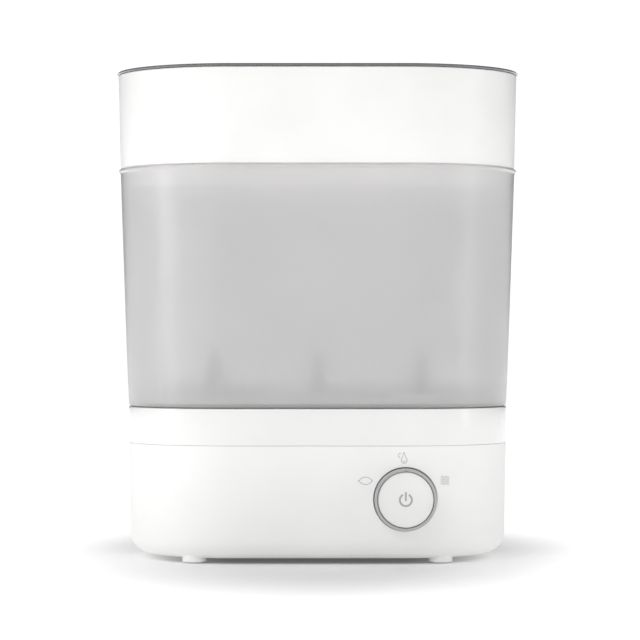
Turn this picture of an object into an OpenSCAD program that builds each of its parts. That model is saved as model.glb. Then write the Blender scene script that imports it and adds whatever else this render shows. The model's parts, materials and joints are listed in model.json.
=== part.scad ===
// Countertop steam sterilizer and dryer for feeding bottles.
// Millimetres, +Z up, front towards -Y. The origin is the middle of the footprint, on the surface that it
// stands on. A base with a heating plate and a drying fan carries a frosted bottle basket, a small basket and
// a lid, and each of these lifts off the one below.

/* [Plan] */
// Half length of the straight front and back, between the corner centres
core_x = 60; // [57:0.5:62]
// Half length of the straight ends, between the corner centres
core_y = 8; // [7:0.5:10]

/* [Heights] */
// Underside of the base above the surface
belly_z = 3.8; // [3:0.1:5]
// Joint between the lower housing and the deck above it
collar_z = 83; // [80:0.5:84]
// Seam between the base and the large basket
base_top_z = 108.9; // [107:0.1:112]
// Seam between the large basket and the small basket
basket_top_z = 279.3; // [272:0.1:290]
// Top edge of the small basket, under the lid
small_top_z = 346.5; // [342:0.1:352]
// Thickness of the lid's rim
lid_rim_h = 1.9; // [1.8:0.1:3]

/* [Corner radii] */
// Base, where its lower round begins
base_low_r = 74.9; // [74.5:0.1:75.3]
// Base, at its top edge
base_top_r = 76.4; // [76:0.1:76.8]
// Large basket, at its top
large_top_r = 82; // [81.5:0.1:82.4]
// Bead that stands out at the large basket's top edge
bead_out = 1.2; // [1:0.1:1.5]
// Small basket, at its top
small_top_r = 83.5; // [83.1:0.1:83.9]
// Lid rim
lid_rim_r = 84.4; // [84.2:0.1:85.6]
// Round along the base's lower edge
belly_round = 15; // [13:0.5:15]

/* [Walls] */
// Base mouldings
base_wall = 2.5; // [2.2:0.1:2.8]
// Baskets and lid
basket_wall = 2.2; // [1.8:0.1:2.4]
// Clearance between pieces that lift off each other
seat_gap = 0.3; // [0.3:0.05:0.5]

/* [Bottle rack] */
// Distance between neighbouring bottles, both ways
bottle_pitch = 75; // [72:1:76]
// Height of a bottle peg
peg_h = 32; // [26:1:36]

/* [Control knob] */
// Knob centre to the right of the middle
knob_x = 61.2; // [58:0.2:62]
// Knob centre height
knob_z = 46; // [44:1:48]
// Radius of the knob
knob_r = 22; // [21.5:0.1:22.5]
// How far the knob's front stands out of the housing
knob_out = 9; // [8:0.1:9.2]
// How far the power button goes in
button_travel = 1; // [0.8:0.1:1.2]

/* [Hidden] */
$fn = 96;

eps = 0.02;

// Base
belly_c = [base_low_r - belly_round, belly_z + belly_round]; // centre of the lower round, in the wall section
cover_h = 2;
flange_z = belly_z + cover_h + 0.2; // underside of the flange that the bottom cover is screwed to
flange_h = 2.3;
flange_r = 54;
deck_z = 94; // top face of the deck
deck_h = 2.5;
basin_r = base_top_r - 3.6;
tongue_z = collar_z - 6;
foot_xy = [86.5, 61];
foot_r = 8.5;
foot_h = 7.4;
pad_r = 6.4;
screw_xy = [core_x + 40, core_y + 39];

// Heating plate
seat_z = 89.5; // top of the ring that carries the plate's seal
seat_r = 50;
plate_r = 56;
plate_z = 90.1;
plate_t = 1.6;
dish_depth = 5.6;
dish_floor_z = plate_z - dish_depth;
spreader_r = 44;
spreader_h = 3;
tube_r = 4;
coil_r = 34;
tube_z = dish_floor_z - spreader_h - tube_r - 0.05;
strap_x = 62; // screws at the strap's two ends
strap_leg_x = 57;
strap_y = 20;
strap_z = 70.5;
strap_t = 1.5;
strap_top = deck_z - deck_h - 6.1;

// Fan, its axis along Y
fan_xz = [-66, 42];
fan_y = [28, 54]; // motor side and intake side
fan_wall = 1.8;
tongue_a = 110; // angle of the volute's tongue
volute_r = [22, 34];
outlet_z = 70;
wheel_r = 19;
blade_in_r = 13.6;
intake_r = 14.5;
shaft_r = 1;
motor_r = 13;
motor_h = 20;
fan_lugs = [for (a = [25, -60, -125]) lug_at(a)];

// Duct from the fan's outlet up through the deck
duct_x = [fan_xz[0] - volute_r[1] - fan_wall, fan_xz[0] + volute_r[0] * cos(tongue_a) + fan_wall];
duct_y = [fan_y[0] - fan_wall, fan_y[1] + fan_wall];
duct_wall = 1.8;
duct_mid = [(duct_x[0] + duct_x[1]) / 2, (duct_y[0] + duct_y[1]) / 2];
duct_size = [duct_x[1] - duct_x[0], duct_y[1] - duct_y[0]];
chimney_z = 102;
heater_size = duct_size - 2 * (duct_wall + 0.3) * [1, 1];
heater_z = [outlet_z + 3, outlet_z + 17];

// Air filter in the back wall
window_x = [-90, -42];
window_z = [20, 66];
filter_gap = 0.4;
bay_y = [57.8, 71];
filter_mid = [(window_x[0] + window_x[1]) / 2, (window_z[0] + window_z[1]) / 2];
filter_size = [window_x[1] - window_x[0] - 3, window_z[1] - window_z[0] - 3];

// Knob and button: heights in the knob's own frame, outwards from the housing's front
knob_y = -(core_y + base_r(knob_z));
well_r = knob_r + 0.5;
well_floor = -10;
sleeve_r = [12.2, 14.4];
fit = 0.08; // running clearance between the knob's sleeve and the post that it turns on
button_r = 19.3;
ring_in_r = 19.75;
button_front = knob_out - 0.3 - button_travel;
board_at = -21.2; // front face of the control board
stem_end = -15.9;
stem_r = 3.5;
sleeve_end = -17.2;
knob_back = -7;
knob_web = -5; // front face of the web between the knob's rim and its sleeve
guide_z = [2.65, 3.8]; // light guide, round the button's edge
retainer_z = well_floor - 4;
retainer_r = 18.6;
spring_floor = -8;

// Mains board and the cord's entry
board_z = 15;
board_x = [24, 98];
board_y = [-34, 38];
board_posts_x = [30, 92];
board_posts_y = [-28, 32];
cord_x = 40;
cord_z = 26;
gland_r = 6;

// Baskets
large_z0 = base_top_z + seat_gap;
ledge_r = 66;
ledge_z = large_z0 + 2.6;
small_z0 = basket_top_z + seat_gap;
skirt_z = basket_top_z - 14.6;
small_ledge_r = 70;
small_floor_h = 2.4;
skirt_r = 77.9;
stations = [for (i = [-1:1], s = [-1, 1]) [i * bottle_pitch, s * bottle_pitch / 2]];
rack_z = ledge_z + seat_gap;
rack_h = 2.2;
rack_r = large_r(ledge_z) - basket_wall - 0.6;
rib_y = bottle_pitch / 2 + 23;
drain_r = [15.5, 20]; // curved slots round each peg
peg_foot_r = 13;
lid_z = small_top_z + seat_gap;
total_h = lid_z + lid_rim_h;
pan_depth = 13;
dish_z = total_h - pan_depth; // top face of the lid's sunken panel
lid_skirt_r = small_top_r - basket_wall - 0.5;
handle_core = 42;
grip_w = 14; // half width of the grip bar at its foot

// Screws and their holes
tap_r = 1.1;
clear_r = 1.7;

// ---------------------------------------------------------------- functions

// Points along an arc, for the round stretches of a section
function arc(c, r, a0, a1, n = 6) =
    [for (i = [0:n]) let (a = a0 + (a1 - a0) * i / n) c + r * [cos(a), sin(a)]];

// Straight line between two [height, value] pairs
function between(z, low, high) = low[1] + (high[1] - low[1]) * (z - low[0]) / (high[0] - low[0]);

// Corner radius of each drafted outer wall at height z
function base_r(z) = between(z, [belly_z + belly_round, base_low_r], [base_top_z, base_top_r]);
function large_r(z) = between(z, [large_z0, base_top_r], [basket_top_z - 4, large_top_r]);
function small_r(z) = between(z, [small_z0, large_top_r], [small_top_z, small_top_r]);

// Radius of the lid's dish at a height above its sunken panel
function dish_r(h) = lid_skirt_r - 3 + h * 0.1;

// Volute radius, growing clockwise from the tongue to the outlet
function volute_at(t) = volute_r[0] + (volute_r[1] - volute_r[0]) * t;
function lug_at(a) = (volute_at((tongue_a - a) / (180 + tongue_a)) + fan_wall + 1.2) * [cos(a), sin(a)];
function volute_outline(extra, top, n = 40) = concat(
    [for (i = [0:n]) let (t = i / n, a = tongue_a - (180 + tongue_a) * t, r = volute_at(t) + extra)
        fan_xz + r * [cos(a), sin(a)]],
    [[fan_xz[0] - volute_r[1] - extra, top]],
    [[fan_xz[0] + volute_r[0] * cos(tongue_a) + extra, top]]
);

// ---------------------------------------------------------------- shared shapes

// Sweeps a wall section round the plan. The section is drawn as [distance out from the corner centres, height].
module sweep_round(cx = core_x, cy = core_y) {
    for (q = [0:3]) {
        corner = [q == 0 || q == 3 ? cx : -cx, q < 2 ? cy : -cy];
        translate(corner) rotate(90 * q) rotate_extrude(angle = 90) children();
    }
    for (side = [0, 180]) {
        if (cy > 0) rotate(side) translate([cx, 0, 0]) rotate([90, 0, 0])
            linear_extrude(2 * cy, center = true) children();
        rotate(side + 90) translate([cy, 0, 0]) rotate([90, 0, 0])
            linear_extrude(2 * cx, center = true) children();
    }
}

// The plan outline at corner radius r
module plan(r, cx = core_x, cy = core_y) {
    square([2 * (cx + r), 2 * cy], center = true);
    square([2 * cx, 2 * (cy + r)], center = true);
    for (sx = [-1, 1], sy = [-1, 1]) translate([sx * cx, sy * cy]) circle(r);
}

module plan_plate(r, z, h) {
    translate([0, 0, z]) linear_extrude(h) plan(r);
}

// A box from its two corners
module block(low, high) {
    translate(low) cube(high - low);
}

// A slot with round ends, l long overall along X
module slot(l, w, h) {
    linear_extrude(h) {
        square([l - w, w], center = true);
        for (s = [-1, 1]) translate([s * (l - w) / 2, 0]) circle(d = w, $fn = 32);
    }
}

// A plate with round corners
module round_rect(size, r) {
    square([size[0] - 2 * r, size[1]], center = true);
    square([size[0], size[1] - 2 * r], center = true);
    for (sx = [-1, 1], sy = [-1, 1])
        translate([sx * (size[0] / 2 - r), sy * (size[1] / 2 - r)]) circle(r, $fn = 32);
}

module ring(r_in, r_out, z, h) {
    translate([0, 0, z]) difference() {
        cylinder(h = h, r = r_out);
        translate([0, 0, -1]) cylinder(h = h + 2, r = r_in);
    }
}

module at_corners(xy) {
    for (sx = [-1, 1], sy = [-1, 1]) translate([sx * xy[0], sy * xy[1], 0]) children();
}

// The knob's frame: its centre on the housing's front, local +Z outwards
module at_knob() {
    translate([knob_x, knob_y, knob_z]) rotate([90, 0, 0]) children();
}

// The fan's frame: local +Z along +Y, from the motor side to the intake side
module at_fan(y = 0) {
    translate([fan_xz[0], y, fan_xz[1]]) rotate([-90, 0, 0]) children();
}

// A 2D drawing in the XZ plane, thickened from y0 to y1
module upright(y0, y1) {
    translate([0, y1, 0]) rotate([90, 0, 0]) linear_extrude(y1 - y0) children();
}

// ---------------------------------------------------------------- base mouldings

module housing_section() {
    polygon(concat(
        [[belly_c[0] + 0.1, belly_z]],
        arc(belly_c, belly_round, -85, 0, 9),
        [[base_r(collar_z), collar_z], [base_r(collar_z) - base_wall, collar_z]],
        arc(belly_c, belly_round - base_wall, 0, -58, 6),
        [[flange_r, flange_z + flange_h], [flange_r, flange_z], [belly_c[0] + 0.1, flange_z]]
    ));
}

module filter_window(grow = 0) {
    w = [window_x[1] - window_x[0], window_z[1] - window_z[0]];
    translate([(window_x[0] + window_x[1]) / 2, 0, (window_z[0] + window_z[1]) / 2])
        rotate([-90, 0, 0]) translate([0, 0, bay_y[1] - 1])
            linear_extrude(40) round_rect([w[0] + 2 * grow, w[1] + 2 * grow], 5 + grow);
}

module knob_well() {
    at_knob() ring(well_r - eps, well_r + 2, well_floor - 2, -well_floor + 0.5);
    at_knob() ring(sleeve_r[1] + 0.4, well_r + 1, well_floor - 2, 2);
}

module base_housing() color("white") {
    difference() {
        union() {
            sweep_round() housing_section();
            at_corners(foot_xy) translate([0, 0, 1.2]) cylinder(h = foot_h, r = foot_r);
            at_corners(screw_xy) translate([0, 0, flange_z]) cylinder(h = 12, r = 4);
            intersection() {
                knob_well();
                plan_plate(base_low_r, 10, 70);
            }
        }
        at_knob() translate([0, 0, well_floor]) cylinder(h = 30, r = well_r);
        filter_window();
        at_corners(foot_xy) translate([0, 0, 1.2 - 1]) cylinder(h = 1 + 1.4, r = pad_r + 0.15);
        at_corners(screw_xy) translate([0, 0, flange_z - 1]) cylinder(h = 11, r = 1.25);
        translate([cord_x, core_y + base_low_r - 8, cord_z]) rotate([-90, 0, 0])
            cylinder(h = 16, r = gland_r + 0.1);
    }
}

// Glossy band round the top of the base: it plugs into the housing, and the deck is joined under its ledge
module band_section() {
    top = base_top_z;
    low = deck_z - deck_h - 1.2;
    polygon(concat(
        [[base_r(tongue_z) - base_wall - 2.2, tongue_z], [base_r(tongue_z) - base_wall - 0.25, tongue_z],
         [base_r(collar_z) - base_wall - 0.25, collar_z + 0.15], [base_r(collar_z), collar_z + 0.15]],
        arc([base_top_r - 0.9, top - 0.9], 0.9, 0, 90, 4),
        arc([basin_r + 0.9, top - 0.9], 0.9, 90, 180, 4),
        [[basin_r, deck_z + 0.1], [basin_r + 0.3, deck_z + 0.1], [basin_r + 0.3, low]]
    ));
}

module upper_band() color("white") sweep_round() band_section();

// Ring round the heating plate, sunk below the deck
module plate_seat() {
    rotate_extrude() polygon([
        [seat_r, seat_z - 2], [plate_r + 3, seat_z - 2],
        [plate_r + 6, deck_z - deck_h], [plate_r + 6, deck_z],
        [plate_r + 4, deck_z], [plate_r + 1.4, seat_z], [seat_r, seat_z]
    ]);
}

module upper_deck() color("white") difference() {
    union() {
        difference() {
            plan_plate(basin_r + 0.1, deck_z - deck_h, deck_h);
            translate([0, 0, deck_z - 10]) cylinder(h = 20, r = plate_r + 5);
        }
        sweep_round() polygon([[basin_r - 2, deck_z - deck_h - 3], [basin_r + 0.1, deck_z - deck_h - 3],
            [basin_r + 0.1, deck_z - 0.5], [basin_r - 2, deck_z - 0.5]]);
        plate_seat();
        translate([duct_mid[0], duct_mid[1], deck_z - 1]) linear_extrude(chimney_z - deck_z + 1)
            round_rect(duct_size, 4);
        for (s = [-1, 1]) translate([s * strap_x, strap_y, deck_z - deck_h - 6]) cylinder(h = 7, r = 4);
    }
    translate([duct_mid[0], duct_mid[1], deck_z - 10]) linear_extrude(30)
        round_rect(duct_size - 2 * duct_wall * [1, 1], 2.2);
    for (s = [-1, 1]) translate([s * strap_x, strap_y, deck_z - deck_h - 7]) cylinder(h = 6, r = tap_r);
}

// Cap over the drying air's outlet: water runs off it, and air leaves through the louvres in its sides
module air_outlet_cap() color("white") {
    louvres = 5;
    pitch = (duct_size[1] - 8) / louvres;
    translate([duct_mid[0], duct_mid[1], 0]) difference() {
        union() {
            translate([0, 0, chimney_z + 0.1]) linear_extrude(4.4) round_rect(duct_size - [2, 2], 3.4);
            translate([0, 0, chimney_z + 4.5]) linear_extrude(1.6) round_rect(duct_size + [1, 1], 4.4);
        }
        translate([0, 0, chimney_z - 1]) linear_extrude(5.4)
            round_rect(duct_size - 2 * duct_wall * [1, 1], 2.2);
        for (i = [0:louvres - 1]) translate([0, (i - (louvres - 1) / 2) * pitch, chimney_z + 0.9])
            translate([-40, -pitch * 0.31, 0]) cube([80, pitch * 0.62, 3.2]);
    }
}

module bottom_cover() color("whitesmoke") {
    rib_at = [52, 50];
    rib_z = belly_z + cover_h - eps;
    difference() {
        union() {
            plan_plate(belly_c[0] - 0.15, belly_z, cover_h);
            for (x = board_posts_x, y = board_posts_y) translate([x, y, belly_z + 1])
                cylinder(h = board_z - belly_z - 1, r = 3);
            for (x = [-rib_at[0], 0, rib_at[0]]) block([x - 0.8, -rib_at[1], rib_z], [x + 0.8, rib_at[1], rib_z + 3]);
            for (y = [-rib_at[1], rib_at[1]]) block([-rib_at[0], y - 0.8, rib_z], [rib_at[0], y + 0.8, rib_z + 3]);
        }
        for (x = board_posts_x, y = board_posts_y) translate([x, y, board_z - 7]) cylinder(h = 8, r = tap_r);
        at_corners(screw_xy) {
            translate([0, 0, belly_z - 1]) cylinder(h = 5, r = clear_r);
            translate([0, 0, belly_z - eps]) cylinder(h = 1.3, r1 = 3.3, r2 = clear_r);
        }
        at_corners(foot_xy) cylinder(h = 20, r = foot_r + 0.25);
        for (i = [-3:3]) translate([26 + 7 * i, 0, belly_z - 1]) rotate(90) slot(44, 2.6, 6);
    }
}

module cover_screws() color("silver") at_corners(screw_xy) difference() {
    union() {
        translate([0, 0, belly_z]) cylinder(h = 1.2, r1 = 3.1, r2 = 1.5);
        translate([0, 0, belly_z + 1]) cylinder(h = 10, r = 1.2);
    }
    for (a = [0, 90]) rotate(a) translate([-1.7, -0.3, belly_z - 1]) cube([3.4, 0.6, 1.7]);
}

module rubber_feet() color("gainsboro") at_corners(foot_xy) rotate_extrude()
    polygon(concat([[0, 0]], arc([pad_r - 0.8, 0.8], 0.8, -90, 0, 3), [[pad_r, 2.3], [0, 2.3]]));

// ---------------------------------------------------------------- heating plate

module heating_plate() color("silver") rotate_extrude() polygon(concat(
    [[0, dish_floor_z + plate_t], [spreader_r - 2, dish_floor_z + plate_t]],
    arc([spreader_r - 2, dish_floor_z + plate_t + 3.4], 3.4, -90, -30, 4),
    [[seat_r - 1, plate_z + plate_t], [plate_r, plate_z + plate_t]],
    [[plate_r, plate_z], [seat_r - 0.4, plate_z]],
    arc([spreader_r - 2, dish_floor_z + 5], 5, -30, -90, 4),
    [[0, dish_floor_z]]
));

module plate_seal() color("dimgray") rotate_extrude() polygon([
    [seat_r + 0.2, seat_z], [plate_r + 1.2, seat_z], [plate_r + 2, plate_z + plate_t + 0.6],
    [plate_r - 1, plate_z + plate_t + 0.9], [plate_r - 1.2, plate_z + plate_t],
    [plate_r + 0.05, plate_z + plate_t],
    [plate_r + 0.05, plate_z], [seat_r + 0.2, plate_z]
]);

module heat_spreader() color("lightgray") difference() {
    translate([0, 0, dish_floor_z - spreader_h]) cylinder(h = spreader_h, r = spreader_r - 3);
    for (a = [45, 135, 225, 315]) rotate(a) translate([20, 0, dish_floor_z - spreader_h - 1])
        cylinder(h = 3, r = 1.6);
}

// Sheathed tubular element: an open ring under the spreader, both ends turned outwards
module heating_element() color("dimgray") {
    opening = 60;
    translate([0, 0, tube_z]) {
        rotate(-90 + opening / 2) rotate_extrude(angle = 360 - opening) translate([coil_r, 0]) circle(tube_r);
        for (s = [-1, 1]) rotate(-90 + s * opening / 2) translate([coil_r, 0, 0]) rotate([s * 90, 0, 0]) {
            translate([0, -s * 0.8, -1.5]) cylinder(h = 7.5, r = tube_r + 0.4);
            translate([0, 0, 5]) cylinder(h = 4, r = 1.6);
        }
    }
}

module thermostat() color("black") {
    top = dish_floor_z - spreader_h - 0.05;
    translate([0, 0, top - 1.2]) linear_extrude(1.2) round_rect([24, 12], 2);
    translate([0, 0, top - 9]) cylinder(h = 8, r = 8);
    for (s = [-1, 1]) block([s * 5 - 0.4, -2.5, top - 16], [s * 5 + 0.4, 2.5, top - 8.9]);
}

module thermal_fuse() color("white") {
    z = dish_floor_z - spreader_h - 2.35;
    translate([0, -17, z]) rotate([0, 90, 0]) {
        cylinder(h = 14, r = 2.2, center = true);
        cylinder(h = 30, r = 0.5, center = true);
    }
}

// Strap that draws the plate down on its seal
module plate_bracket() color("silver") difference() {
    union() {
        block([-strap_leg_x, strap_y - 7, strap_z], [strap_leg_x, strap_y + 7, strap_z + strap_t]);
        for (s = [-1, 1]) translate([s * strap_leg_x, strap_y, 0]) {
            block([-strap_t / 2, -7, strap_z], [strap_t / 2, 7, strap_top]);
            rotate(s > 0 ? 0 : 180) block([-strap_t / 2, -5, strap_top - strap_t], [10, 5, strap_top]);
        }
    }
    for (s = [-1, 1]) translate([s * strap_x, strap_y, strap_z]) cylinder(h = 30, r = clear_r);
    translate([0, strap_y, strap_z - 1]) cylinder(h = 4, r = 2.3);
    for (s = [-1, 1]) translate([s * 28, strap_y, strap_z - 1]) slot(22, 6, 4);
}

// Stud and nut at the strap's middle, and a screw at each end
module bracket_fixings() color("silver") {
    stud_z = strap_z - 6;
    translate([0, strap_y, stud_z]) cylinder(h = dish_floor_z - spreader_h - 0.05 - stud_z, r = 2);
    translate([0, strap_y, strap_z - 3.3]) difference() {
        cylinder(h = 3.2, r = 4, $fn = 6);
        translate([0, 0, -1]) cylinder(h = 6, r = 2.05);
    }
    for (s = [-1, 1]) translate([s * strap_x, strap_y, strap_top]) {
        translate([0, 0, -3.7]) cylinder(h = 2.1, r = 2.8);
        translate([0, 0, -1.9]) cylinder(h = 6.5, r = tap_r - 0.05);
    }
}

// ---------------------------------------------------------------- drying fan and air heater

module volute(extra, top) {
    polygon(volute_outline(extra, top));
}

module fan_housing() color("whitesmoke") difference() {
    union() {
        upright(fan_y[0] - fan_wall, fan_y[1]) volute(fan_wall, outlet_z);
        for (p = fan_lugs) at_fan(fan_y[0] - fan_wall) translate([p[0], -p[1], 0])
            cylinder(h = fan_y[1] - fan_y[0] + fan_wall, r = 3);
    }
    upright(fan_y[0], fan_y[1] + 1) volute(0, outlet_z + 1);
    at_fan(fan_y[0] - 5) cylinder(h = 10, r = 3);
    for (p = fan_lugs) at_fan(fan_y[1] - 10) translate([p[0], -p[1], 0]) cylinder(h = 11, r = 1);
}

// Intake side of the fan, with a rounded inlet
module fan_cover() color("whitesmoke") {
    difference() {
        union() {
            upright(fan_y[1] + 0.05, fan_y[1] + fan_wall) volute(fan_wall, outlet_z);
            for (p = fan_lugs) at_fan(fan_y[1] + 0.05) translate([p[0], -p[1], 0])
                cylinder(h = fan_wall - 0.05, r = 3);
        }
        at_fan(fan_y[1] - 1) cylinder(h = 5, r = intake_r + 1);
        for (p = fan_lugs) at_fan(fan_y[1] - 1) translate([p[0], -p[1], 0]) cylinder(h = 5, r = 1.4);
    }
    at_fan(fan_y[1] + fan_wall) rotate_extrude() polygon(concat(
        [[intake_r + 1.2, 0]], [[intake_r + 1.2, -fan_wall + 0.05]], [[intake_r, -fan_wall - 1.4]],
        [[intake_r - 1.2, -fan_wall - 1.4]], [[intake_r - 1.2, -fan_wall]],
        arc([intake_r + 0.8, -2], 2, 180, 90, 4)
    ));
}

module fan_screws() color("silver") for (p = fan_lugs) at_fan(fan_y[1]) translate([p[0], -p[1], 0]) {
    translate([0, 0, -8]) cylinder(h = 10, r = 0.95);
    translate([0, 0, fan_wall + 0.02]) cylinder(h = 1.6, r = 2.4);
}

module fan_motor() color("silver") difference() {
    union() {
        at_fan(fan_y[0] - fan_wall - motor_h) cylinder(h = motor_h - 0.1, r = motor_r);
        at_fan(fan_y[0] - fan_wall - 0.2) cylinder(h = 2.4, r = 2.8);
        at_fan(fan_y[0] - fan_wall - motor_h - 1.5) cylinder(h = 2, r = 4);
        for (s = [-1, 1]) at_fan(fan_y[0] - fan_wall - motor_h - 4) translate([s * 7, 0, 0])
            linear_extrude(4.5) square([0.6, 3], center = true);
    }
    at_fan(fan_y[0] - fan_wall - 12) cylinder(h = 40, r = shaft_r + 0.08);
}

module fan_shaft() color("lightgray") at_fan(fan_y[0] - fan_wall - 11.5) cylinder(h = 27, r = shaft_r);

// One forward-curved blade, in the plane of the wheel
module blade() {
    bend_r = 5.2;
    mid = [(blade_in_r + wheel_r) / 2, -3.6];
    polygon(concat(
        arc(mid, bend_r, 38, 112, 5),
        arc(mid, bend_r - 0.7, 112, 38, 5)
    ));
}

module fan_impeller() color("dimgray") {
    blades = 26;
    deep = 17;
    at_fan(fan_y[0] + 2.6) difference() {
        union() {
            cylinder(h = 1.2, r = wheel_r - 0.4);
            cylinder(h = 6, r = 3.4);
            for (i = [0:blades - 1]) rotate(i * 360 / blades) translate([0, 0, 1])
                linear_extrude(deep) blade();
            ring(blade_in_r + 1.4, wheel_r - 0.6, deep, 1.4);
        }
        translate([0, 0, -1]) cylinder(h = 20, r = shaft_r + 0.03);
    }
}

module air_duct() color("whitesmoke") translate([duct_mid[0], duct_mid[1], outlet_z + 0.1]) difference() {
    linear_extrude(deck_z - deck_h - outlet_z - 0.2) round_rect(duct_size, 2.5);
    translate([0, 0, -1]) linear_extrude(40) round_rect(duct_size - 2 * duct_wall * [1, 1], 1);
}

module air_heater_frame() color("black") translate([duct_mid[0], duct_mid[1], heater_z[0]]) difference() {
    linear_extrude(heater_z[1] - heater_z[0]) square(heater_size, center = true);
    translate([0, 0, -1]) linear_extrude(40) square(heater_size - [4, 4], center = true);
}

// Aluminium fin packs on both sides of a ceramic strip
module air_heater_fins() color("silver") {
    inner = heater_size - [4.2, 4.2];
    fins = 11;
    pitch = (inner[1] - 1) / (fins - 1);
    h = heater_z[1] - heater_z[0] - 2;
    translate([duct_mid[0], duct_mid[1], heater_z[0] + 1]) {
        linear_extrude(h) square([2.4, inner[1]], center = true);
        for (s = [-1, 1]) translate([s * (inner[0] / 2 - 0.4), 0, 0])
            linear_extrude(h) square([0.8, inner[1]], center = true);
        for (i = [0:fins - 1]) translate([0, (i - (fins - 1) / 2) * pitch, 0])
            linear_extrude(h) square([inner[0], 0.5], center = true);
    }
}

// ---------------------------------------------------------------- air filter

module at_filter(y) {
    translate([filter_mid[0], y, filter_mid[1]]) rotate([-90, 0, 0]) children();
}

// Open box between the fan's inlet and the window in the back wall
module filter_bay() color("whitesmoke") difference() {
    intersection() {
        at_filter(bay_y[0]) linear_extrude(40) round_rect(filter_size + [5.4, 5.4], 4);
        plan_plate(base_low_r - base_wall - 0.3, belly_z, collar_z - belly_z);
    }
    at_filter(bay_y[0] + 1.6) linear_extrude(60) round_rect(filter_size + [1.4, 1.4], 2);
    at_fan(bay_y[0] - 1) cylinder(h = 4, r = intake_r + 3);
}

module filter_frame() color("white") at_filter(bay_y[0] + 2.4) difference() {
    linear_extrude(bay_y[1] - bay_y[0] - 2.6) round_rect(filter_size, 1.6);
    translate([0, 0, -1]) linear_extrude(40) square(filter_size - [3.2, 3.2], center = true);
}

// Pleated paper, folded into a zigzag
module filter_media() color("ghostwhite") {
    folds = 13;
    w = filter_size[0] - 3.4;
    step = w / folds;
    deep = bay_y[1] - bay_y[0] - 4.6;
    crest = [for (i = [0:2 * folds]) [-w / 2 + i * step / 2, i % 2 == 0 ? 0 : deep]];
    at_filter(bay_y[0] + 3.4) rotate([90, 0, 0]) linear_extrude(filter_size[1] - 3.4, center = true)
        polygon(concat(crest, [for (i = [2 * folds:-1:0]) crest[i] + [0, 1]]));
}

// The piece of the back wall that closes the window, with louvres and the tabs that hold the filter
module filter_cover() color("white") {
    slots = 9;
    difference() {
        intersection() {
            sweep_round() housing_section();
            filter_window(-filter_gap);
        }
        for (i = [0:slots - 1]) translate([filter_mid[0], 0, filter_mid[1] + (i - (slots - 1) / 2) * 3.9])
            rotate([-90, 0, 0]) translate([0, 0, 60]) slot(36, 1.8, 40);
    }
    intersection() {
        for (s = [-1, 1]) translate([filter_mid[0] + s * (filter_size[0] / 2 - 4), 0, 0])
            block([-2, bay_y[1] - 0.15, filter_mid[1] - 10], [2, core_y + base_low_r, filter_mid[1] + 10]);
        plan_plate(base_low_r - 1, belly_z, collar_z - belly_z);
    }
}

// ---------------------------------------------------------------- knob and button

module mode_knob() color("white") at_knob() {
    front = knob_out - 0.7;
    rotate_extrude() polygon([
        [sleeve_r[0], sleeve_end], [sleeve_r[1], sleeve_end], [sleeve_r[1], knob_back], [knob_r, knob_back],
        [knob_r, front], [ring_in_r, front], [ring_in_r, knob_web], [sleeve_r[0], knob_web]
    ]);
    for (a = [0:10:350]) rotate(a) translate([knob_r - 0.05, 0, knob_back + 0.5])
        cylinder(h = front - knob_back - 1.5, r = 0.22, $fn = 16);
}

// Satin ring on the knob's front edge, with a pip that points at the chosen mark
module knob_trim() color("silver") at_knob() {
    z = knob_out - 0.7;
    rotate_extrude() polygon([[ring_in_r, z], [knob_r, z], [knob_r, z + 0.3], [knob_r - 0.4, z + 0.7],
        [ring_in_r + 0.3, z + 0.7], [ring_in_r, z + 0.4]]);
    translate([0, knob_r - 1.15, z + 0.6]) rotate(90) slot(1.9, 0.9, 0.25);
}

// Snap ring behind the well's floor, with a notch for each mode
module knob_retainer() color("gainsboro") at_knob() translate([0, 0, retainer_z]) difference() {
    cylinder(h = 1.6, r = retainer_r);
    translate([0, 0, -1]) cylinder(h = 4, r = sleeve_r[1] + 0.05);
    for (a = [-65, 0, 65]) rotate(a) translate([0, -retainer_r - 0.6, -1]) cylinder(h = 4, r = 1.6, $fn = 32);
}

// Leaf spring under the retainer: its bump rests in a notch
module detent_spring() color("silver") at_knob() translate([0, 0, retainer_z]) linear_extrude(1.9) {
    leaf_y = -retainer_r - 1.6;
    half = 15;
    polygon(concat(
        [[-half, leaf_y], [-2.2, leaf_y]],
        arc([0, leaf_y + 0.95], 1.2, 200, -20, 6),
        [[2.2, leaf_y], [half, leaf_y], [half, leaf_y - 0.5], [-half, leaf_y - 0.5]]
    ));
}

module button_carrier() color("white") at_knob() difference() {
    union() {
        translate([0, 0, board_at + 0.1]) cylinder(h = guide_z[0] - board_at - 0.15, r = sleeve_r[0] - fit);
        translate([0, 0, guide_z[0] - 1.65]) cylinder(h = 1.6, r = 18.9);
    }
    translate([0, 0, spring_floor]) cylinder(h = 20, r = 8);
    translate([0, 0, spring_floor - 4]) cylinder(h = 20, r = stem_r + 0.3);
    translate([0, 0, board_at]) cylinder(h = 11.2, r = 9.6);
}

module light_guide() color("ghostwhite") at_knob() ring(9, 18.9, guide_z[0], guide_z[1] - guide_z[0]);

module power_button() color("white") at_knob() {
    back = button_front - 2.2;
    rotate_extrude() polygon(concat(
        [[0, back], [button_r - 1.4, back], [button_r - 0.3, back]],
        [[button_r, back + 0.3]],
        arc([button_r - 0.8, button_front - 0.8], 0.8, 0, 90, 4),
        [[0, button_front - 0.25]]
    ));
    translate([0, 0, stem_end]) cylinder(h = back - stem_end + eps, r = stem_r);
}

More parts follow.
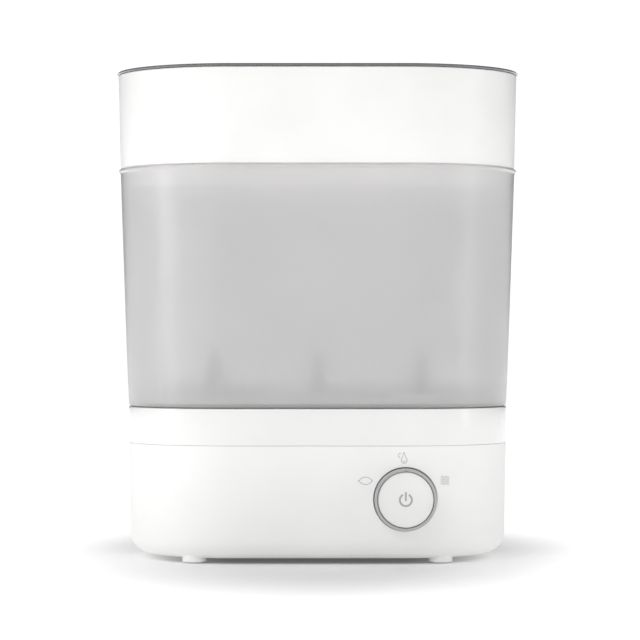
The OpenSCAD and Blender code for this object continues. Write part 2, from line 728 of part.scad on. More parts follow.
// Compression spring round the button's stem
module button_spring() color("silver") at_knob() {
    turns = 6;
    steps = 14;
    sides = 6;
    wire = 0.45;
    coil = 5.6;
    low = spring_floor + wire + 0.05;
    high = button_front - 2.2 - wire - 0.05;
    count = turns * steps;
    points = [for (i = [0:count], k = [0:sides - 1])
        let (a = 360 * i / steps, b = 360 * k / sides, r = coil + wire * cos(b))
        [r * cos(a), r * sin(a), low + (high - low) * i / count + wire * sin(b)]];
    walls = [for (i = [0:count - 1], k = [0:sides - 1]) let (n = (k + 1) % sides)
        [i * sides + k, (i + 1) * sides + k, (i + 1) * sides + n, i * sides + n]];
    polyhedron(points, concat(walls,
        [[for (k = [0:sides - 1]) k]], [[for (k = [sides - 1:-1:0]) count * sides + k]]), convexity = 8);
}

module selector_switch() color("dimgray") at_knob() {
    ring(sleeve_r[1] + 0.4, sleeve_r[1] + 4, board_at + 0.05, 5.6);
}

module tact_switch() color("black") at_knob() difference() {
    translate([-3, -3, board_at + 0.05]) cube([6, 6, 3.9]);
    translate([0, 0, board_at + 1.4]) cylinder(h = 6, r = 1.75);
}

module switch_plunger() color("gold") at_knob() translate([0, 0, stem_end - 2.15])
    cylinder(h = 2.1, r = 1.45);

module control_board() color("seagreen") at_knob() difference() {
    translate([-29, -26, board_at - 1.6]) cube([58, 50, 1.6]);
    at_corners([26, 22]) translate([0, -1, board_at - 3]) cylinder(h = 5, r = 1.6);
}

// ---------------------------------------------------------------- mains electronics

module power_board() color("seagreen") difference() {
    block([board_x[0], board_y[0], board_z + 0.05], [board_x[1], board_y[1], board_z + 1.65]);
    for (x = board_posts_x, y = board_posts_y) translate([x, y, board_z - 1]) cylinder(h = 5, r = clear_r);
}

module board_components() color("dimgray") translate([0, 0, board_z + 1.7]) {
    block([36, -20, 0], [55, -4, 15.5]); // relay
    block([36, 0, 0], [55, 16, 15.5]); // relay
    block([62, -10, 0], [84, 12, 18]); // transformer
    block([36, 24, 0], [56, 34, 12]); // terminal block
    translate([74, 24, 0]) cylinder(h = 20, r = 5); // capacitor
    translate([72, -22, 0]) cylinder(h = 12, r = 4); // capacitor
}

module cord_gland() color("whitesmoke") translate([cord_x, 0, cord_z]) rotate([-90, 0, 0]) {
    wall_y = core_y + base_r(cord_z);
    rotate_extrude() polygon(concat(
        [[3.5, wall_y - 9], [gland_r - 0.8, wall_y - 9], [gland_r, wall_y - 8], [gland_r, wall_y + 0.15],
         [gland_r + 2, wall_y + 0.15]],
        arc([gland_r + 0.8, wall_y + 1.4], 1.2, 0, 90, 4),
        [[5.2, wall_y + 2.8], [4.8, wall_y + 8], [4.2, wall_y + 8.6], [3.5, wall_y + 8.6]]
    ));
}

// ---------------------------------------------------------------- large basket and bottle rack

module large_section() {
    z0 = large_z0;
    lip = basket_top_z;
    polygon(concat(
        [[basin_r - 2.2, z0 - 7], [basin_r - 0.9, z0 - 7], [basin_r - 0.4, z0 - 6], [basin_r - 0.4, z0]],
        arc([large_r(z0) - 2.5, z0 + 2.5], 2.5, -90, 0, 5),
        [[large_r(lip - 4), lip - 4]],
        arc([large_top_r + bead_out - 1.4, lip - 1.6], 1.4, -40, 70, 5),
        [[large_top_r - basket_wall + 0.3, lip], [large_top_r - basket_wall, lip - 0.4]],
        [[large_r(ledge_z) - basket_wall + 0.03, ledge_z], [ledge_r, ledge_z], [ledge_r, z0 + 0.4],
         [basin_r - 2.2, z0 + 0.4]]
    ));
}

module large_basket() color([0.82, 0.83, 0.84, 0.6]) sweep_round() large_section();

// A curved slot round a centre, from angle a0 to a1
module kidney(r_in, r_out, a0, a1, h) {
    rotate(a0) rotate_extrude(angle = a1 - a0) translate([r_in, 0]) square([r_out - r_in, h]);
}

module bottle_rack() color([0.85, 0.86, 0.87]) difference() {
    union() {
        plan_plate(rack_r, rack_z, rack_h);
        sweep_round() polygon([[rack_r - 1.8, rack_z + 1], [rack_r, rack_z + 1], [rack_r + 0.1, rack_z + 6.4],
            [rack_r - 0.3, rack_z + 7], [rack_r - 1.2, rack_z + 7], [rack_r - 1.6, rack_z + 6.4]]);
        for (y = [-1, 0, 1] * rib_y) block([-core_x, y - 0.9, rack_z - 2.3], [core_x, y + 0.9, rack_z + 1]);
    }
    for (p = stations) translate([p[0], p[1], rack_z - 1])
        for (a = [0:90:270]) kidney(drain_r[0], drain_r[1], a + 16, a + 74, 5);
    for (x = [-1.5, -0.5, 0.5, 1.5] * bottle_pitch, y = [-2, -1, 1, 2] * 19)
        translate([x, y * (abs(x) > bottle_pitch ? 0.72 : 1), rack_z - 3]) rotate(90) slot(15, 4.2, 8);
}

// One peg: two crossed fins that flare towards a round foot, so that steam gets into the bottle above
module peg() {
    n = 8;
    side = [for (i = [0:n]) let (t = i / n) [3.2 + 9 * pow(1 - t, 2.2), 1.5 + (peg_h - 3) * t]];
    cylinder(h = 1.6, r = peg_foot_r);
    for (a = [45, 135]) rotate(a) rotate([90, 0, 0]) linear_extrude(2.2, center = true)
        polygon(concat(side, [[2, peg_h], [-2, peg_h]], [for (i = [n:-1:0]) [-side[i][0], side[i][1]]]));
    for (a = [0:90:270]) rotate(a) translate([0, 0, 0.8]) rotate([90, 0, 0]) linear_extrude(2, center = true)
        polygon([[9, 0], [peg_foot_r - 0.2, 0], [peg_foot_r - 0.2, 3], [peg_foot_r - 1.2, 4], [9, 4]]);
}

module bottle_pegs() color([0.8, 0.81, 0.82])
    for (p = stations) translate([p[0], p[1], rack_z + rack_h]) peg();

// ---------------------------------------------------------------- small basket, its plate and the lid

module small_section() {
    z0 = small_z0;
    polygon([
        [small_ledge_r, skirt_z], [skirt_r - 0.7, skirt_z], [skirt_r, skirt_z + 0.7],
        [large_top_r - basket_wall - 0.4, z0],
        [large_r(z0 - 4) - 0.7, z0], [small_r(z0), z0 + 0.7], [small_r(small_top_z), small_top_z - 0.6],
        [small_top_r - 0.6, small_top_z], [small_top_r - basket_wall + 0.3, small_top_z],
        [small_top_r - basket_wall, small_top_z - 0.3], [small_r(z0) - basket_wall, z0 + 1.5],
        [large_top_r - 2 * basket_wall - 0.7, z0 - 1.5], [skirt_r - basket_wall, skirt_z + small_floor_h],
        [small_ledge_r, skirt_z + small_floor_h]
    ]);
}

module small_basket() color("white") sweep_round() small_section();

module basket_plate() color("whitesmoke") {
    z = skirt_z + small_floor_h + seat_gap;
    r = skirt_r - basket_wall - 0.6;
    rows = 13;
    pitch = 9.4;
    slot_w = 4;
    difference() {
        union() {
            plan_plate(r, z, 1.8);
            sweep_round() polygon([[r - 1.6, z + 1], [r, z + 1], [r, z + 4.5], [r - 0.5, z + 5],
                [r - 1.2, z + 5], [r - 1.6, z + 4.5]]);
        }
        for (i = [-(rows - 1) / 2:(rows - 1) / 2]) {
            y = i * pitch;
            reach = core_x + sqrt(pow(r - 9, 2) - pow(max(abs(y) - core_y, 0), 2));
            for (k = [-1:1]) translate([k * reach * 0.66, y, z - 1]) slot(reach * 0.56, slot_w, 6);
        }
    }
}

module lid_section() {
    polygon([
        [lid_skirt_r - 1.8, dish_z - basket_wall], [lid_skirt_r - 0.6, dish_z - basket_wall + 1],
        [lid_skirt_r, lid_z], [lid_rim_r - 0.8, lid_z], [lid_rim_r, lid_z + 0.8], [lid_rim_r, total_h - 0.8],
        [lid_rim_r - 0.8, total_h], [lid_skirt_r - 1.2, total_h], [dish_r(pan_depth - 0.6), total_h - 0.6],
        [dish_r(1), dish_z + 1], [dish_r(0) - 1, dish_z], [dish_r(0) - 5, dish_z],
        [dish_r(0) - 5, dish_z - basket_wall]
    ]);
}

// Outline of the grip bar: a long dome, as a section swept round its two end centres
module grip_section(inset) {
    h = total_h - 0.4 - dish_z - inset;
    polygon(concat(
        [[0, dish_z - 3], [grip_w - inset, dish_z - 3], [grip_w - 0.6 - inset, dish_z + 1]],
        arc([grip_w - 4.4 - inset, dish_z + h - 3], 3, 15, 90, 5),
        [[0, dish_z + h]]
    ));
}

module lid() color([0.55, 0.56, 0.58, 0.7]) difference() {
    union() {
        sweep_round() lid_section();
        plan_plate(dish_r(0) - 3, dish_z - basket_wall, basket_wall);
        intersection() {
            sweep_round(handle_core, 0) grip_section(0);
            plan_plate(60, dish_z - basket_wall, 40);
        }
    }
    sweep_round(handle_core, 0) grip_section(basket_wall);
    for (s = [-1, 1], i = [-4:4]) translate([i * 9, s * 48, dish_z - 5]) rotate(90) slot(16, 2.6, 10);
}

// ---------------------------------------------------------------- placement

base_housing();
upper_band();
upper_deck();
bottom_cover();
cover_screws();
rubber_feet();
heating_plate();
plate_seal();
heat_spreader();
heating_element();
thermostat();
thermal_fuse();
plate_bracket();
bracket_fixings();
fan_housing();
fan_cover();
fan_screws();
fan_motor();
fan_shaft();
fan_impeller();
air_heater_frame();
air_heater_fins();
air_duct();
air_outlet_cap();
filter_bay();
filter_cover();
filter_frame();
filter_media();
control_board();
selector_switch();
tact_switch();
switch_plunger();
mode_knob();
knob_trim();
knob_retainer();
detent_spring();
button_carrier();
light_guide();
power_button();
button_spring();
power_board();
board_components();
cord_gland();
large_basket();
bottle_rack();
bottle_pegs();
small_basket();
basket_plate();
lid();
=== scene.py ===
"""Steam sterilizer and dryer for feeding bottles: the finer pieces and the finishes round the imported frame."""

import json
import logging
import math
from dataclasses import dataclass, field
from enum import Enum

import bmesh
import bpy
from mathutils import Matrix, Vector

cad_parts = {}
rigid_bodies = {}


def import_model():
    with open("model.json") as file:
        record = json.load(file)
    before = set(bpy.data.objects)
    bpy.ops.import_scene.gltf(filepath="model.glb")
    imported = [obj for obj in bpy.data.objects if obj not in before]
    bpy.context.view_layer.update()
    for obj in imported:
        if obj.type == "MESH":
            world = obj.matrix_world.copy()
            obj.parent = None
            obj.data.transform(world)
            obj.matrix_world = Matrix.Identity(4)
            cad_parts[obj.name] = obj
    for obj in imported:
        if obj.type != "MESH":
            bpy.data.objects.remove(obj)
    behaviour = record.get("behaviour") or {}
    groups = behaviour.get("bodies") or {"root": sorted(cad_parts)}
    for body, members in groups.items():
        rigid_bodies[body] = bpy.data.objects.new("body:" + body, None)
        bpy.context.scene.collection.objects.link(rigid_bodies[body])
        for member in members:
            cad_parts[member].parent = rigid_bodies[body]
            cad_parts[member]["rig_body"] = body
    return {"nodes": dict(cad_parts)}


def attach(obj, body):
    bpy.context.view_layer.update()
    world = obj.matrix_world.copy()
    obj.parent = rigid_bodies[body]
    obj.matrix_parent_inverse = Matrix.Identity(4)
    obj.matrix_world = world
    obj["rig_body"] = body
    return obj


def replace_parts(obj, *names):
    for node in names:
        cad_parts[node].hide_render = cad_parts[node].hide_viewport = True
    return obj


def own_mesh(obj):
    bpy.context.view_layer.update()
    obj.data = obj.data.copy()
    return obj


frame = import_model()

LOG = logging.getLogger("sterilizer")
MM = 0.001
SHEEN_PATCH_MM = 45.0
HAZE_PATCH_MM = 60.0
ETCH_MM = 0.5
PLASTIC_IOR = 1.49
WELD_MM = 0.002
SEAM_WELD_MM = 0.001
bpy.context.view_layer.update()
Point = tuple[float, float]


# ---------------------------------------------------------------- node and colour helpers


def linear(code: str, alpha: float = 1.0) -> tuple[float, float, float, float]:
    """Turns an sRGB hex colour into linear light.

    Args:
        code: the colour as six hex digits.
        alpha: the fourth value.

    Returns:
        Red, green, blue and alpha.
    """
    values = [int(code[i : i + 2], 16) / 255 for i in (0, 2, 4)]
    red, green, blue = (v / 12.92 if v <= 0.04045 else ((v + 0.055) / 1.055) ** 2.4 for v in values)
    return red, green, blue, alpha


def add(tree: bpy.types.NodeTree, kind: str, links: dict | None = None, **settings: object) -> bpy.types.Node:
    """Adds one node with its settings and links.

    Args:
        tree: the node tree.
        kind: the node's type name, without the ShaderNode at its front.
        links: input name or number to a socket that feeds it, or to the value it holds.
        settings: the node's own properties.

    Returns:
        The new node.
    """
    made = tree.nodes.new("ShaderNode" + kind)
    for name, value in settings.items():
        setattr(made, name, value)
    for name, value in (links or {}).items():
        if isinstance(value, bpy.types.NodeSocket):
            tree.links.new(value, made.inputs[name])
        else:
            made.inputs[name].default_value = value
    return made


def ramp(tree: bpy.types.NodeTree, source: bpy.types.NodeSocket,
         stops: list[tuple[float, tuple]]) -> bpy.types.NodeSocket:
    """Colours a value by a ramp.

    Args:
        tree: the node tree.
        source: socket of the value.
        stops: the ramp's (place, colour) pairs.

    Returns:
        The colour socket.
    """
    made = add(tree, "ValToRGB", {"Fac": source})
    marks = made.color_ramp.elements
    while len(marks) < len(stops):
        marks.new(0.5)
    for mark, (place, colour) in zip(marks, stops):
        mark.position, mark.color = place, colour
    return made.outputs["Color"]


def blank(name: str) -> tuple[bpy.types.Material, bpy.types.NodeTree, bpy.types.Node]:
    """Makes an empty material with a Principled shader and returns it, its tree and the shader."""
    material = bpy.data.materials.new(name)
    material.use_nodes = True
    tree = material.node_tree
    shader = tree.nodes["Principled BSDF"]
    return material, tree, shader


# ---------------------------------------------------------------- finishes


class Lay(Enum):
    """Which way a brushed metal's scratches run."""

    TURNED = "turned"
    ALONG_X = "along_x"
    ALONG_Y = "along_y"


@dataclass(frozen=True)
class Moulded:
    """An injection-moulded plastic: even colour, a spark-eroded grain and slow changes of sheen.

    Attributes:
        name: the material's common name.
        colour: its sRGB colour.
        shade: the same, where the moulding is a touch thicker.
        roughness: middle roughness.
        grain_mm: size of the mould's grain.
        grain_depth: how strongly the grain stands out.
        coat: clear gloss over it.
    """

    name: str
    colour: str
    shade: str
    roughness: float = 0.45
    grain_mm: float = 0.6
    grain_depth: float = 0.08
    coat: float = 0.0

    def build(self) -> bpy.types.Material:
        """Builds the material."""
        material, tree, shader = blank(self.name)
        place = add(tree, "TexCoord").outputs["Object"]
        slow = add(tree, "TexNoise", {"Vector": place, "Scale": 1 / (SHEEN_PATCH_MM * MM), "Detail": 2.0})
        grain = add(tree, "TexNoise", {"Vector": place, "Scale": 1 / (self.grain_mm * MM), "Detail": 2.0})
        tone = ramp(tree, slow.outputs["Fac"], [(0.35, linear(self.shade)), (0.62, linear(self.colour))])
        sheen = add(tree, "MapRange", {"Value": slow.outputs["Fac"], 1: 0.3, 2: 0.7,
                                       3: self.roughness * 0.92, 4: self.roughness * 1.08})
        relief = add(tree, "Bump", {"Height": grain.outputs["Fac"], "Strength": self.grain_depth,
                                    "Distance": 0.15 * MM})
        tree.links.new(tone, shader.inputs["Base Color"])
        tree.links.new(sheen.outputs["Result"], shader.inputs["Roughness"])
        tree.links.new(relief.outputs["Normal"], shader.inputs["Normal"])
        shader.inputs["IOR"].default_value = PLASTIC_IOR
        if self.coat:
            shader.inputs["Coat Weight"].default_value = self.coat
            shader.inputs["Coat Roughness"].default_value = 0.06
        return material


@dataclass(frozen=True)
class Frosted:
    """Translucent polypropylene with an etched face: things close behind it show, and things further back blur.

    Attributes:
        name: the material's common name.
        colour: its sRGB colour.
        shade: the same in thicker places.
        haze: roughness of its faces, which blurs what lies behind.
        clear: share of light that goes straight through.
        ior: refraction of the thin wall, low so that it bends little of what lies behind.
    """

    name: str
    colour: str
    shade: str
    haze: float
    clear: float
    ior: float = 1.2

    def build(self) -> bpy.types.Material:
        """Builds the material."""
        material, tree, shader = blank(self.name)
        place = add(tree, "TexCoord").outputs["Object"]
        slow = add(tree, "TexNoise", {"Vector": place, "Scale": 1 / (HAZE_PATCH_MM * MM), "Detail": 3.0})
        etch = add(tree, "TexNoise", {"Vector": place, "Scale": 1 / (ETCH_MM * MM), "Detail": 3.0})
        tone = ramp(tree, slow.outputs["Fac"], [(0.35, linear(self.shade)), (0.65, linear(self.colour))])
        haze = add(tree, "MapRange", {"Value": slow.outputs["Fac"], 1: 0.3, 2: 0.7,
                                      3: self.haze * 0.95, 4: self.haze * 1.05})
        relief = add(tree, "Bump", {"Height": etch.outputs["Fac"], "Strength": 0.05, "Distance": 0.1 * MM})
        tree.links.new(tone, shader.inputs["Base Color"])
        tree.links.new(haze.outputs["Result"], shader.inputs["Roughness"])
        tree.links.new(relief.outputs["Normal"], shader.inputs["Normal"])
        shader.inputs["IOR"].default_value = self.ior
        shader.inputs["Transmission Weight"].default_value = self.clear
        shader.inputs["Coat Weight"].default_value = 1.0
        shader.inputs["Coat IOR"].default_value = 1.7
        shader.inputs["Coat Roughness"].default_value = 0.3
        return material


@dataclass(frozen=True)
class Metal:
    """A brushed, turned, plated or cast metal.

    Attributes:
        name: the metal's common name.
        colour: its sRGB colour.
        shade: the same, between scratches.
        roughness: middle roughness.
        lay: which way its scratches run, or None for a cast or plated face.
        pitch_mm: distance between scratches, or the size of the casting's grain.
    """

    name: str
    colour: str
    shade: str
    roughness: float = 0.3
    lay: Lay | None = None
    pitch_mm: float = 0.7

    def build(self) -> bpy.types.Material:
        """Builds the material."""
        material, tree, shader = blank(self.name)
        place = add(tree, "TexCoord").outputs["Object"]
        if self.lay is Lay.TURNED:
            split = add(tree, "SeparateXYZ", {"Vector": place})
            flat = add(tree, "CombineXYZ", {"X": split.outputs["X"], "Y": split.outputs["Y"]})
            reach = add(tree, "VectorMath", {0: flat.outputs["Vector"]}, operation="LENGTH")
            rings = add(tree, "CombineXYZ", {"X": reach.outputs["Value"], "Z": split.outputs["Z"]})
            place = rings.outputs["Vector"]
        elif self.lay is not None:
            stretch = (0.04, 1, 1) if self.lay is Lay.ALONG_X else (1, 0.04, 1)
            place = add(tree, "Mapping", {"Vector": place, "Scale": stretch}).outputs["Vector"]
        fine = add(tree, "TexNoise", {"Vector": place, "Scale": 1 / (self.pitch_mm * MM), "Detail": 4.0})
        tone = ramp(tree, fine.outputs["Fac"], [(0.3, linear(self.shade)), (0.7, linear(self.colour))])
        rough = add(tree, "MapRange", {"Value": fine.outputs["Fac"], 1: 0.3, 2: 0.7,
                                       3: self.roughness * 0.75, 4: self.roughness * 1.25})
        relief = add(tree, "Bump", {"Height": fine.outputs["Fac"], "Strength": 0.12, "Distance": 0.05 * MM})
        tree.links.new(tone, shader.inputs["Base Color"])
        tree.links.new(rough.outputs["Result"], shader.inputs["Roughness"])
        tree.links.new(relief.outputs["Normal"], shader.inputs["Normal"])
        shader.inputs["Metallic"].default_value = 1.0
        return material


@dataclass(frozen=True)
class Board:
    """Glass-epoxy circuit board: green mask, copper tracks under it and bare pads.

    Attributes:
        name: the material's common name.
        mask: colour of the mask.
        track: colour of the mask over copper.
        pitch_mm: distance between tracks.
    """

    name: str
    mask: str
    track: str
    pitch_mm: float = 2.4

    def build(self) -> bpy.types.Material:
        """Builds the material."""
        material, tree, shader = blank(self.name)
        place = add(tree, "TexCoord").outputs["Object"]
        cells = add(tree, "TexBrick", {"Vector": place, "Color1": (1, 1, 1, 1), "Color2": (0.75, 0.75, 0.75, 1),
                                       "Mortar": (0, 0, 0, 1), "Scale": 1 / (self.pitch_mm * 4 * MM),
                                       "Mortar Size": 0.06})
        tone = ramp(tree, cells.outputs["Fac"], [(0.2, linear(self.mask)), (0.8, linear(self.track))])
        relief = add(tree, "Bump", {"Height": cells.outputs["Fac"], "Strength": 0.3, "Distance": 0.05 * MM})
        tree.links.new(tone, shader.inputs["Base Color"])
        tree.links.new(relief.outputs["Normal"], shader.inputs["Normal"])
        shader.inputs["Roughness"].default_value = 0.35
        return material


@dataclass(frozen=True)
class Paper:
    """Filter paper: matt, with felted fibres.

    Attributes:
        name: the material's common name.
        colour: its sRGB colour.
        shade: the same between fibres.
        fibre_mm: thickness of a fibre.
    """

    name: str
    colour: str
    shade: str
    fibre_mm: float = 0.35

    def build(self) -> bpy.types.Material:
        """Builds the material."""
        material, tree, shader = blank(self.name)
        place = add(tree, "TexCoord").outputs["Object"]
        drawn = add(tree, "Mapping", {"Vector": place, "Scale": (1.0, 1.0, 0.3)}).outputs["Vector"]
        fibre = add(tree, "TexNoise", {"Vector": drawn, "Scale": 1 / (self.fibre_mm * MM), "Detail": 6.0,
                                       "Distortion": 0.6})
        tone = ramp(tree, fibre.outputs["Fac"], [(0.3, linear(self.shade)), (0.7, linear(self.colour))])
        relief = add(tree, "Bump", {"Height": fibre.outputs["Fac"], "Strength": 0.4, "Distance": 0.1 * MM})
        tree.links.new(tone, shader.inputs["Base Color"])
        tree.links.new(relief.outputs["Normal"], shader.inputs["Normal"])
        shader.inputs["Roughness"].default_value = 0.95
        return material


class Finish(Enum):
    """Every finish of the appliance, by what the real one is."""

    SATIN_PP = Moulded("satin_polypropylene", "FBFBFA", "F8F8F7", 0.46, 0.7, 0.06)
    GLOSS_PP = Moulded("glossy_polypropylene", "F5F5F4", "F3F3F2", 0.22, 2.5, 0.02, coat=0.3)
    BAND_PP = Moulded("white_polypropylene", "F6F6F5", "F3F3F2", 0.36, 0.9, 0.05)
    FROSTED_PP = Frosted("frosted_polypropylene", "F8F7F7", "F5F4F4", 0.42, 0.72)
    RACK_PP = Moulded("grey_polypropylene", "A0A2A4", "9B9D9F", 0.4, 0.8, 0.06)
    SMOKE_PP = Frosted("smoke_polypropylene", "ABADB0", "A5A7AA", 0.25, 0.7)
    TRIM = Moulded("silver_grey_trim", "B9BABB", "B2B3B4", 0.35, 0.5, 0.05)
    INK = Moulded("grey_printed_ink", "B4B5B6", "AFB0B1", 0.6, 0.4, 0.05)
    PALE_INK = Moulded("pale_printed_ink", "C4C5C6", "BFC0C1", 0.6, 0.4, 0.05)
    NYLON = Moulded("natural_nylon", "E4E2DA", "DEDCD3", 0.5, 0.8, 0.08)
    PHENOLIC = Moulded("black_phenolic", "1C1C1E", "161617", 0.42, 0.5, 0.1)
    FOOT_RUBBER = Moulded("pale_rubber", "E6E6E4", "DEDEDC", 0.75, 0.5, 0.25)
    SILICONE = Moulded("grey_silicone_rubber", "5C5D5F", "535456", 0.62, 0.5, 0.12)
    CERAMIC = Moulded("glazed_ceramic", "ECE8DD", "E4DFD2", 0.18, 1.5, 0.03)
    STAINLESS = Metal("turned_stainless_steel", "C6C8C9", "AEB0B2", 0.26, Lay.TURNED, 0.8)
    STRIP_STEEL = Metal("brushed_stainless_strip", "B9BBBD", "A3A5A7", 0.3, Lay.ALONG_X, 0.7)
    ZINC = Metal("zinc_plated_steel", "BFC2C6", "A9ACB0", 0.34, None, 1.2)
    CAST_ALUMINIUM = Metal("die_cast_aluminium", "C2C4C5", "A8AAAB", 0.45, None, 0.9)
    SHEATH = Metal("oxidised_steel_sheath", "5A5552", "3F3B39", 0.55, None, 0.8)
    BRASS = Metal("bright_brass", "D9B968", "BF9D4C", 0.3, None, 0.6)
    BOARD = Board("green_circuit_board", "0E4A28", "1C6B3C")
    PAPER = Paper("filter_paper", "F0EFE8", "DDDCD2")

    def material(self) -> bpy.types.Material:
        """Returns the finish's material, built the first time it is asked for."""
        return bpy.data.materials.get(self.value.name) or self.value.build()


# ---------------------------------------------------------------- mesh helpers


def arc(centre: Point, radius: float, start: float, end: float, steps: int = 6) -> list[Point]:
    """Points of a round in a section.

    Args:
        centre: middle of the round.
        radius: its radius.
        start: angle it begins at, in degrees.
        end: angle it ends at.
        steps: number of straight pieces.

    Returns:
        The points, first to last.
    """
    angles = [math.radians(start + (end - start) * i / steps) for i in range(steps + 1)]
    return [(centre[0] + radius * math.cos(a), centre[1] + radius * math.sin(a)) for a in angles]


def between(at: float, low: Point, high: Point) -> float:
    """Straight line between two (height, value) pairs."""
    return low[1] + (high[1] - low[1]) * (at - low[0]) / (high[0] - low[0])


def finish_mesh(bm: bmesh.types.BMesh, name: str, finish: Finish, body: str, sharp: float = 32.0,
                recalculate: bool = True) -> bpy.types.Object:
    """Welds a mesh, turns its faces outwards, marks its hard edges and makes it a piece.

    Args:
        bm: the mesh, in millimetres in the shared frame. It is freed.
        name: the piece's name.
        finish: what it is made of.
        body: the body that it rides on.
        sharp: edges that turn by more degrees than this stay hard.
        recalculate: whether its faces are turned outwards again.

    Returns:
        The piece.
    """
    bmesh.ops.remove_doubles(bm, verts=bm.verts, dist=WELD_MM)
    if recalculate:
        bmesh.ops.recalc_face_normals(bm, faces=bm.faces)
    for face in bm.faces:
        face.smooth = True
    for edge in bm.edges:
        edge.smooth = len(edge.link_faces) == 2 and edge.calc_face_angle(0.0) < math.radians(sharp)
    bmesh.ops.scale(bm, vec=(MM, MM, MM), verts=bm.verts)
    mesh = bpy.data.meshes.new(name)
    bm.to_mesh(mesh)
    bm.free()
    piece = bpy.data.objects.new(name, mesh)
    bpy.context.scene.collection.objects.link(piece)
    piece.data.materials.append(finish.material())
    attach(piece, body)
    LOG.info("%s: %d faces, %s", name, len(mesh.polygons), finish.value.name)
    return piece


def wire(bm: bmesh.types.BMesh, points: list[Vector], closed: bool) -> list[bmesh.types.BMEdge]:
    """Adds a line through points to a mesh and returns its edges."""
    verts = [bm.verts.new(p) for p in points]
    pairs = list(zip(verts, verts[1:])) + ([(verts[-1], verts[0])] if closed else [])
    return [bm.edges.new(pair) for pair in pairs]


def carried(geom: list) -> tuple[list, list]:
    """Splits an operator's result into its vertices and its edges."""
    return ([g for g in geom if isinstance(g, bmesh.types.BMVert)],
            [g for g in geom if isinstance(g, bmesh.types.BMEdge)])


@dataclass
class Plan:
    """The rounded plan that every shell follows, as the box between its corner centres.

    Attributes:
        core_x: half length of the straight front and back.
        core_y: half length of the straight ends.
        steps: straight pieces in each round corner.
    """

    core_x: float = 60.0
    core_y: float = 8.0
    steps: int = 28

    def sweep(self, section: list[Point]) -> bmesh.types.BMesh:
        """Carries a wall section once round the plan, extruded along its sides and spun round its corners.

        Args:
            section: a closed loop of points as (distance out from the corner centre, height).

        Returns:
            The swept mesh.
        """
        bm = bmesh.new()
        front = [Vector((self.core_x + r, -self.core_y, z)) for r, z in section]
        edges = wire(bm, front, True)
        turns = [((0, 2 * self.core_y), (1, 1)), ((-2 * self.core_x, 0), (-1, 1)),
                 ((0, -2 * self.core_y), (-1, -1)), ((2 * self.core_x, 0), (1, -1))]
        for (dx, dy), (sx, sy) in turns:
            out = bmesh.ops.extrude_edge_only(bm, edges=edges)
            verts, edges = carried(out["geom"])
            bmesh.ops.translate(bm, vec=(dx, dy, 0), verts=verts)
            out = bmesh.ops.spin(bm, geom=verts + edges, cent=(sx * self.core_x, sy * self.core_y, 0),
                                 axis=(0, 0, 1), angle=math.pi / 2, steps=self.steps)
            _, edges = carried(out["geom_last"])
        bmesh.ops.remove_doubles(bm, verts=bm.verts, dist=SEAM_WELD_MM)
        return bm


def turned(section: list[Point], steps: int = 96, closed: bool = True) -> bmesh.types.BMesh:
    """Spins a section a full turn about Z.

    Args:
        section: its points as (radius, height).
        steps: straight pieces in the turn.
        closed: whether the section is a loop, or a line that starts and ends on the axis.

    Returns:
        The mesh.
    """
    bm = bmesh.new()
    edges = wire(bm, [Vector((r, 0, z)) for r, z in section], closed)
    verts = list({v for e in edges for v in e.verts})
    bmesh.ops.spin(bm, geom=verts + edges, cent=(0, 0, 0), axis=(0, 0, 1), angle=2 * math.pi, steps=steps,
                   use_merge=True)
    bmesh.ops.remove_doubles(bm, verts=bm.verts, dist=SEAM_WELD_MM)
    return bm


def refined(node: str, finish: Finish, sharp: float = 30.0) -> bpy.types.Object:
    """Makes a welded, smooth-shaded copy of a CAD node that stands for it.

    Args:
        node: the CAD node.
        finish: what it is made of.
        sharp: edges that turn by more degrees than this stay hard.

    Returns:
        The piece.
    """
    source = frame["nodes"][node]
    bm = bmesh.new()
    bm.from_mesh(source.data)
    bmesh.ops.scale(bm, vec=(1 / MM, 1 / MM, 1 / MM), verts=bm.verts)
    piece = finish_mesh(bm, node + "_fine", finish, source["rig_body"], sharp, recalculate=False)
    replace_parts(piece, node)
    return piece


# ---------------------------------------------------------------- sub-assemblies


@dataclass
class Shells:
    """Sizes that the shells share, in millimetres.

    Attributes:
        plan: the plan that they follow.
        belly_z: underside of the base's wall.
        belly_round: radius where that wall turns under.
        collar_z: seam between the housing and the glossy band.
        base_top: seam between the base and the large basket.
        basket_top: seam between the large and the small basket.
        small_top: top of the small basket.
        seat_gap: gap in each seam.
        base_low_r: corner radius of the base above its lower round.
        base_top_r: the same at its top.
        large_top_r: corner radius at the large basket's top.
        small_top_r: the same at the small basket's top.
        base_wall: thickness of the base's wall.
        wall: thickness of a basket's wall.
    """

    plan: Plan = field(default_factory=Plan)
    belly_z: float = 3.8
    belly_round: float = 15.0
    collar_z: float = 83.0
    base_top: float = 108.9
    basket_top: float = 279.3
    small_top: float = 346.5
    seat_gap: float = 0.3
    base_low_r: float = 74.9
    base_top_r: float = 76.4
    large_top_r: float = 82.0
    small_top_r: float = 83.5
    base_wall: float = 2.5
    wall: float = 2.2

    def base_r(self, z: float) -> float:
        """Corner radius of the base's wall at a height."""
        return between(z, (self.belly_z + self.belly_round, self.base_low_r), (self.base_top, self.base_top_r))

    def large_r(self, z: float) -> float:
        """Corner radius of the large basket's wall at a height."""
        return between(z, (self.base_top + self.seat_gap, self.base_top_r), (self.basket_top - 4, self.large_top_r))

    def small_r(self, z: float) -> float:
        """Corner radius of the small basket's wall at a height."""
        return between(z, (self.basket_top + self.seat_gap, self.large_top_r), (self.small_top, self.small_top_r))


